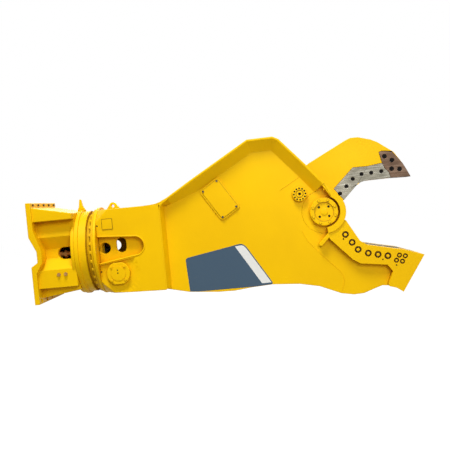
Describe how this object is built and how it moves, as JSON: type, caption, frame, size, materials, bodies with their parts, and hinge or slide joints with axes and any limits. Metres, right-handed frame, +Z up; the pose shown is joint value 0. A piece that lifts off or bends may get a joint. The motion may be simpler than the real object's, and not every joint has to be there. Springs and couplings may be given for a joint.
{
  "type": "hydraulic shear",
  "caption": "Rotating scrap shear for an excavator: bolt-on head with slew ring, humped body, one hydraulic cylinder, an opening upper jaw with blades and a fixed lower jaw.",
  "frame": {"origin": "centre of the rectangle of machine bolts, on the front face of the machine flange and on the slew axis", "axes": "+X along the slew axis from the machine flange towards the jaws, +Z up, +Y across towards the far side"},
  "size_m": [2.668, 0.616, 1.128],
  "materials": {
    "yellow_paint": "gloss yellow paint",
    "amber_paint": "amber paint",
    "bare_steel": "machined steel",
    "dark_steel": "blackened steel",
    "chrome_rod": "polished",
    "bronze": "satin",
    "black_rubber": "matte",
    "blue_panel": "satin blue-grey",
    "white_stripe": "satin off-white",
    "tip_steel": "heat-tinted steel"
  },
  "bodies": {
    "head": {"head_casting": "yellow_paint", "head_top_screws": "bare_steel", "head_port_fittings": "bare_steel", "head_hoses": "black_rubber", "slew_motor": "dark_steel", "swivel_core": "bare_steel", "slew_outer_ring": "yellow_paint", "slew_outer_screws": "bare_steel", "slew_balls": "bare_steel", "ring_lug": "yellow_paint", "grease_nipples": "bronze"},
    "pinion": {"slew_pinion": "bare_steel"},
    "frame": {"slew_inner_ring": "bare_steel", "slew_bolts": "dark_steel", "swivel_housing": "bare_steel", "neck_flange": "yellow_paint", "neck_box": "yellow_paint", "lifting_eye": "yellow_paint", "type_plate": "yellow_paint", "speed_valve": "dark_steel", "neck_hoses": "black_rubber", "base_pin": "bare_steel", "base_pin_caps": "yellow_paint", "base_cap_screws": "dark_steel", "near_side_plate": "yellow_paint", "far_side_plate": "yellow_paint", "side_rims": "amber_paint", "roof_plate": "yellow_paint", "belly_plate": "yellow_paint", "throat_plate": "yellow_paint", "near_jaw_cheek": "yellow_paint", "far_jaw_cheek": "yellow_paint", "nose_block": "yellow_paint", "nose_blade": "bare_steel", "heel_blade": "bare_steel", "front_blade": "bare_steel", "guide_blade": "bare_steel", "fixed_blade_bolts": "dark_steel", "main_pin": "bare_steel", "main_pin_caps": "yellow_paint", "main_cap_screws": "dark_steel", "guide_pucks": "bronze", "puck_covers": "yellow_paint", "puck_screws": "dark_steel", "access_covers": "yellow_paint", "cover_screws": "dark_steel", "side_panels": "blue_panel", "panel_stripes": "white_stripe"},
    "jaw": {"moving_jaw": "yellow_paint", "jaw_bush": "bronze", "jaw_heel_blade": "bare_steel", "jaw_front_blade": "bare_steel", "piercing_tip": "tip_steel", "jaw_blade_screws": "dark_steel", "lever_pin_ends": "bare_steel"},
    "barrel": {"cylinder_barrel": "yellow_paint", "cylinder_gland": "dark_steel"},
    "rod": {"cylinder_rod": "chrome_rod", "rod_pin_centre": "bare_steel", "cylinder_piston": "bare_steel"}
  },
  "joints": [
    {"name": "slew", "type": "hinge", "parent": "head", "child": "frame", "pos_m": [0, 0, 0], "axis": [1, 0, 0], "continuous": true},
    {"name": "pinion_spin", "type": "hinge", "parent": "head", "child": "pinion", "pos_m": [0, 0, 0.15], "axis": [1, 0, 0], "continuous": true},
    {"name": "jaw_swing", "type": "hinge", "parent": "frame", "child": "jaw", "pos_m": [2.024, 0, 0.131], "axis": [0, 1, 0], "range_deg": [0, 75]},
    {"name": "barrel_swing", "type": "hinge", "parent": "frame", "child": "barrel", "pos_m": [0.587, 0, -0.16], "axis": [0, 1, 0], "range_deg": [-12, 0]},
    {"name": "rod_slide", "type": "slide", "parent": "barrel", "child": "rod", "axis": [0.9579, 0, 0.287], "range_m": [0, 0.4711]}
  ],
  "couplings": [
    {"joint": "pinion_spin", "follows": "slew", "ratio": 4.5714},
    {"joint": "barrel_swing", "follows": "jaw_swing", "ratio": -0.15565},
    {"joint": "rod_slide", "follows": "jaw_swing", "m_per_rad": 0.35985}
  ]
}
